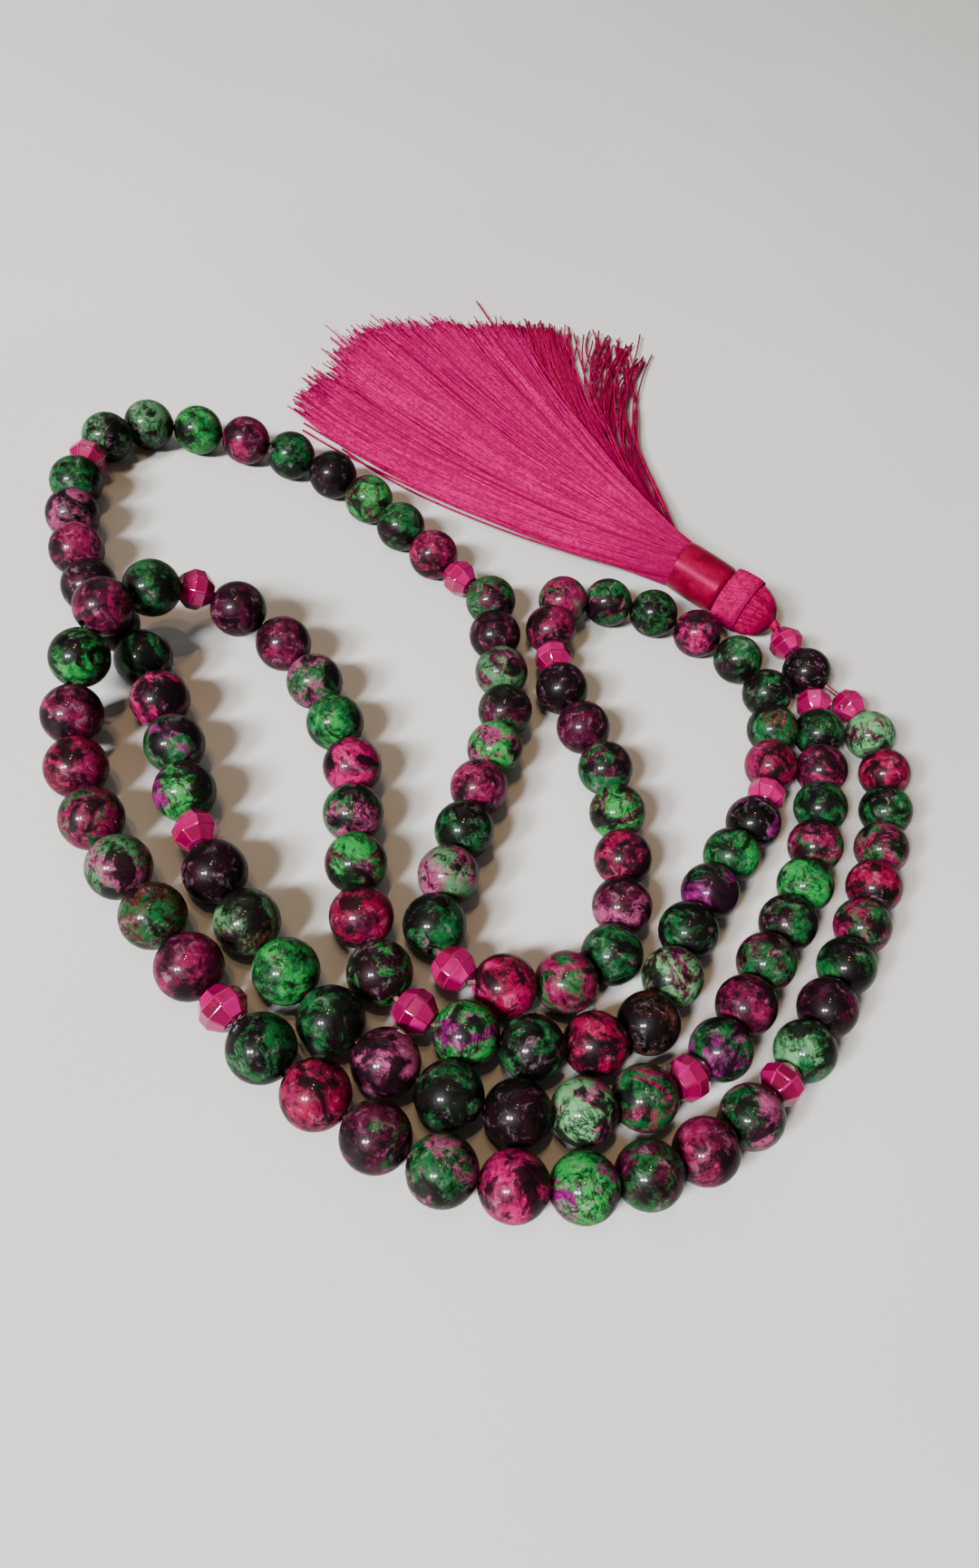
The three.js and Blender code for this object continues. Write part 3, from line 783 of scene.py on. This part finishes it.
def build():
    """Builds every piece, and gives the shift from the route's own axes to the frame's."""
    beads, shift = lay_string()
    middle = (GROUPS // 2) * (STONES_IN_GROUP + 1) + 1
    colours = [pair for row in GROUP_COLOURS for pair in row.split()]
    stones = [(i, bead) for i, bead in enumerate(beads) if bead["kind"] == "stone"]
    stone = stone_shape()
    finishes = {
        "stone": stone_material(),
        "crystal": crystal_material(),
        "front": silk_material("magenta_silk", "540024", "8E0049", "30000F"),
        "back": silk_material("crimson_silk", "48001A", "7C0034", "2A000A"),
        "knit": silk_material("head_silk", "4C001E", "82003E", "30000F", painted_glitter=0.4),
        "satin": satin_material(),
        "thread": thread_material(),
    }

    # Stones, in the two halves of the string
    for name, first in (("bead_string_a", True), ("bead_string_b", False)):
        half = [(n, bead) for n, (i, bead) in enumerate(stones) if (i < middle) == first]
        piece = beads_at(
            name + "_stones",
            [bead for _, bead in half],
            rng.uniform(0, 2 * math.pi, len(half)),
            stone,
            finishes["stone"],
            [colours[n] for n, _ in half],
        )
        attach(piece, "root")
        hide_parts(name)

    tassel = place_tassel(beads[0]["centre"])
    guru = {"centre": beads[0]["centre"], "axis": tassel["cord_axis"]}
    piece = beads_at("guru_stone", [guru], [0.4], stone, finishes["stone"], ["kM"])
    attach(piece, "root")
    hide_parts("guru_bead")

    # Crystals
    crystals = [bead for bead in beads if bead["kind"] == "crystal"]
    crystals.append({"centre": tassel["crystal"], "axis": tassel["cord_axis"]})
    spins = rng.uniform(0, 2 * math.pi, len(crystals))
    piece = beads_at("crystals", crystals, spins, crystal_shape(), finishes["crystal"])
    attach(piece, "root")
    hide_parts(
        "tassel_crystal", *[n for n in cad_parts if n.startswith("crystal_spacer")]
    )

    # The thread through the beads, and the tassel's cord
    inside = STONE_RADIUS - 1 * MM
    centre = beads[0]["centre"]
    line = [centre + (beads[1]["start"] - centre).normalized() * inside]
    for bead in beads[1:-1]:
        line += [bead["start"], bead["centre"], bead["end"]]
    line.append(centre + (beads[-2]["end"] - centre).normalized() * inside)
    piece = threads("stringing_thread", [line], THREAD_RADIUS, 8, finishes["thread"], [0.5])
    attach(piece, "root")
    cord = [
        centre + tassel["cord_axis"] * inside,
        tassel["nose"] - tassel["cord_axis"] * 0.6 * MM,
        tassel["nose"] + tassel["axis"] * 2 * MM,
    ]
    piece = threads("tassel_cord", [cord], THREAD_RADIUS, 8, finishes["thread"], [0.5])
    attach(piece, "root")

    build_head(tassel, finishes)
    build_band(tassel, finishes)
    build_skirt(tassel, finishes)
    return shift


def lay_along(shape, start, axis):
    """Moves a shape turned round +Z so that it runs from a start along an axis, and shows it."""
    turn = Vector((0, 0, 1)).rotation_difference(axis).to_matrix().to_4x4()
    shape.data.transform(Matrix.Translation(start) @ turn)
    bpy.context.scene.collection.objects.link(shape)


def lines_round(tassel, share, angle, reach, lift=0.0):
    """Lines along the head at shares of its length, each with its angles and reaches round it."""
    axis = np.array(tassel["axis"])
    sideways = np.array((axis[1], -axis[0], 0.0))
    up = np.array((0.0, 0.0, 1.0))
    return (
        np.array(tassel["nose"])
        + axis * (share * HEAD_LENGTH)[None, :, None]
        + sideways * (np.cos(angle) * reach)[:, :, None]
        + up * (np.sin(angle) * reach + lift)[:, :, None]
    )


def build_head(tassel, finishes):
    """The fold of the silk over the cord: a crimson core under threads that run to the band."""
    spots, radii = np.array(HEAD_PROFILE).T
    share = np.linspace(0, 1, 15)
    radius = np.interp(share, spots, radii) * (HEAD_RADIUS - 0.22 * MM)
    rows = [(r * 0.985, s * HEAD_LENGTH) for r, s in zip(radius, share)]
    core = lathe("head_core", rows, 40, closed=False)
    for label in ("tint", "along"):
        add_attribute(core.data, label, "FLOAT", np.zeros(len(core.data.vertices)))
    core.data.materials.append(finishes["back"])
    lay_along(core, tassel["nose"], tassel["axis"])
    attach(core, "root")
    count = HEAD_THREADS
    around = np.linspace(0, 2 * math.pi, count, endpoint=False) + rng.normal(0, 0.012, count)
    twist = rng.normal(0.25, 0.06, count)
    lift = rng.uniform(0.0, 0.07, count) * MM
    angle = around[:, None] + twist[:, None] * share[None, :]
    lines = lines_round(tassel, share, angle, radius[None, :] + lift[:, None])
    piece = threads("head_threads", lines, 0.11 * MM, 4, finishes["back"], rng.uniform(0, 1, count))
    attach(piece, "root")
    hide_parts("tassel_head")

    # Crossed threads round the head's mouth, each woven over and under the next
    count = MOUTH_THREADS
    share = np.linspace(MOUTH_FROM, 1.0, 9)
    radius = np.interp(share, spots, radii) * HEAD_RADIUS + 0.06 * MM
    side = np.where(np.arange(count) % 2, 1, -1)
    lean = (side * MOUTH_TURN)[:, None] * (share - MOUTH_FROM) / (1 - MOUTH_FROM)
    angle = np.linspace(0, 2 * math.pi, count)[:, None] + lean
    weave = 0.09 * MM * np.cos(np.arange(len(share)) * math.pi)
    reach = radius[None, :] + weave[None, :] * side[:, None]
    lines = lines_round(tassel, share, angle, reach, 0.2 * MM)
    tint = rng.uniform(0.3, 1, count)
    piece = threads("head_mouth_threads", lines, 0.16 * MM, 5, finishes["knit"], tint)
    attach(piece, "root")

    # The wrapped nub between the head and the tassel's crystal
    reach = np.linspace(-CORD_SHOWN * 0.75, 1.2 * MM, 6)
    line = [np.array(tassel["nose"]) + np.array(tassel["cord_axis"]) * r for r in reach]
    taper = [0.75, 0.95, 1.0, 1.0, 1.1, 1.3]
    piece = threads("tassel_nub", [line], 0.95 * MM, 12, finishes["back"], [0.6], taper)
    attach(piece, "root")


def build_band(tassel, finishes):
    """The wound satin band, a little fuller in the middle and rolled in at its ends."""
    share = np.linspace(0, 1, 21)
    full = 1 - 0.03 * (2 * share - 1) ** 2 - 0.1 * np.abs(2 * share - 1) ** 16
    rows = [(BAND_RADIUS * f, s * BAND_LENGTH) for f, s in zip(full, share)]
    band = lathe("satin_band", rows, BAND_SIDES, closed=False)
    add_attribute(band.data, "along", "FLOAT", np.repeat(share, BAND_SIDES))
    band.data.materials.append(finishes["satin"])
    lay_along(band, tassel["band_start"], tassel["axis"])
    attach(band, "root")
    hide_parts("tassel_band")


def build_skirt(tassel, finishes):
    """The skirt's threads: bright ones in two layers, crimson ones to the right, and loose ones."""
    back, front = finishes["back"], finishes["front"]
    locks = SKIRT_LOCKS

    # Each layer's name, count, shares round the fan, levels in the pile, silk, sway in mm, and curl
    layers = [
        ("skirt_under", 1100, (0.0, 0.74), (0.0, 0.6), front, 0.3, 0),
        ("skirt_back", 1100, (0.5, 0.79), (0.1, 0.75), back, 0.6, 10),
        ("skirt_front", 1550, (0.0, 0.64), (0.3, 1.0), front, 0.45, 1),
    ]
    for name, count, sector, levels, finish, sway, curl in layers:
        share, lock = locked(count, *sector, locks, 0.009)
        reach = rng.normal(0.98, 0.03, locks).clip(0.9, 1.01)[lock] + rng.normal(0, 0.02, count)
        reach -= (rng.uniform(0, 1, count) < 0.2) * rng.uniform(0.02, 0.2, count)
        lines = skirt_lines(
            tassel,
            share,
            rng.uniform(*levels, count),
            reach,
            sway * MM * rng.uniform(0.3, 1.8, count),
            SKIRT_STEPS,
            stray=rng.normal(0, 0.7, locks)[lock] + rng.normal(0, 0.6, count),
            curl=curl * rng.uniform(0.5, 1.4, locks)[lock] + rng.normal(0, 1.5, count),
            mingle=0.1,
        )
        tint = np.clip(rng.normal(0.5, 0.22, count) + rng.normal(0, 0.16, locks)[lock], 0, 1)
        taper = [1] * (SKIRT_STEPS - 1) + [0.8]
        piece = threads(name, lines, SILK_RADIUS, 4, finish, tint, taper)
        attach(piece, "root")
        if name == "skirt_front":
            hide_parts("tassel_skirt")

    # Strands apart from the rest along the right edge
    count, locks = 46, 20
    share, lock = locked(count, 0.8, 1.0, locks, 0.006)
    lines = skirt_lines(
        tassel,
        share,
        rng.uniform(0.2, 0.6, count),
        rng.normal(0.98, 0.04, locks)[lock] + rng.normal(0, 0.015, count),
        rng.uniform(0.8, 2.2, locks)[lock] * MM,
        28,
        stray=rng.normal(0, 0.5, count),
        curl=rng.normal(9, 4, locks)[lock] + rng.normal(0, 1, count),
        mingle=0.01,
    )
    piece = threads("right_strands", lines, STRAND_RADIUS, 5, back, rng.uniform(0, 0.8, count))
    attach(piece, "root")

    # Single threads that stand off the fan's edge: each one's share, reach, stray and curl
    strays = [
        (0.0, 0.98, 1.6, -3.0),
        (0.0, 0.93, 2.6, -5.0),
        (0.0, 0.97, 3.3, -2.0),
        (0.0, 0.86, 4.2, 3.0),
        (0.03, 1.02, 1.5, 2.0),
        (0.62, 1.15, 0.4, 0.0),
        (1.0, 0.99, -1.6, 12.0),
    ]
    share, reach, stray, curl = np.array(strays).T
    level = np.full(len(share), 0.3)
    wave = np.full(len(share), 0.25 * MM)
    lines = skirt_lines(tassel, share, level, reach, wave, 24, stray, curl)
    tint = [0.5] * (len(share) - 1) + [0.0]
    piece = threads("stray_threads", lines, SILK_RADIUS, 5, back, tint)
    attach(piece, "root")


def add_table():
    """The table that the necklace lies on, as the stage."""
    bpy.ops.mesh.primitive_plane_add(size=TABLE_SIZE, location=(0, 0, 0))
    table = bpy.context.object
    table.name = "table"
    table.data.materials.append(table_material())


def add_light(name, bearing, elevation, distance, size, power, colour):
    """An area light that faces the middle of the necklace."""
    light = bpy.data.lights.new(name, "AREA")
    light.shape = "RECTANGLE"
    light.size, light.size_y = size
    light.energy = power
    light.color = colour
    lamp = bpy.data.objects.new(name, light)
    rise = math.radians(elevation)
    above = Vector((0, 0, distance * math.sin(rise)))
    lamp.location = heading(bearing) * distance * math.cos(rise) + above
    lamp.rotation_euler = (-lamp.location).to_track_quat("-Z", "Y").to_euler()
    bpy.context.scene.collection.objects.link(lamp)


def add_lights():
    """Two small warm ceiling lamps, a window of two panes and a broad one beyond, in a dim room."""
    add_light("ceiling_left", 226, 70, 1.6, (0.06, 0.06), 6.4, LAMP_COLOUR)
    add_light("ceiling_right", 196, 76, 1.6, (0.06, 0.06), 5.6, LAMP_COLOUR)
    add_light("window_near", 238, 31, 2.0, (0.24, 0.27), 130, WINDOW_COLOUR)
    add_light("window_far", 247, 38, 2.0, (0.24, 0.27), 98, WINDOW_COLOUR)
    add_light("window_beyond", 130, 44, 1.6, (0.9, 0.9), 3.6, (0.95, 1.0, 1.02))
    world = bpy.data.worlds.new("room_light")
    world.use_nodes = True
    background = world.node_tree.nodes["Background"]
    background.inputs["Color"].default_value = (1.0, 0.88, 0.76, 1)
    background.inputs["Strength"].default_value = 0.2
    bpy.context.scene.world = world


def add_camera(shift):
    """The photograph's camera, from its tilt below level and its roll."""
    tilt = math.radians(CAMERA_TILT)
    roll = math.radians(CAMERA_ROLL)
    ahead, above = math.sin(tilt), math.cos(tilt)
    across = Vector((math.cos(roll), math.sin(roll) * ahead, math.sin(roll) * above))
    upward = Vector((-math.sin(roll), math.cos(roll) * ahead, math.cos(roll) * above))
    back = across.cross(upward)
    camera = bpy.data.cameras.new("camera")
    camera.sensor_width = CAMERA_SENSOR
    camera.sensor_fit = "AUTO"
    camera.lens = CAMERA_LENS
    camera.clip_start = 0.005
    holder = bpy.data.objects.new("camera", camera)
    turn = Matrix((across, upward, back)).transposed().to_4x4()
    holder.matrix_world = Matrix.Translation(shift + Vector((0, 0, CAMERA_HEIGHT))) @ turn
    bpy.context.scene.collection.objects.link(holder)
    bpy.context.scene.camera = holder


TREES = {"beads": bead_tree(), "threads": thread_tree()}
add_camera(build())
add_table()
add_lights()
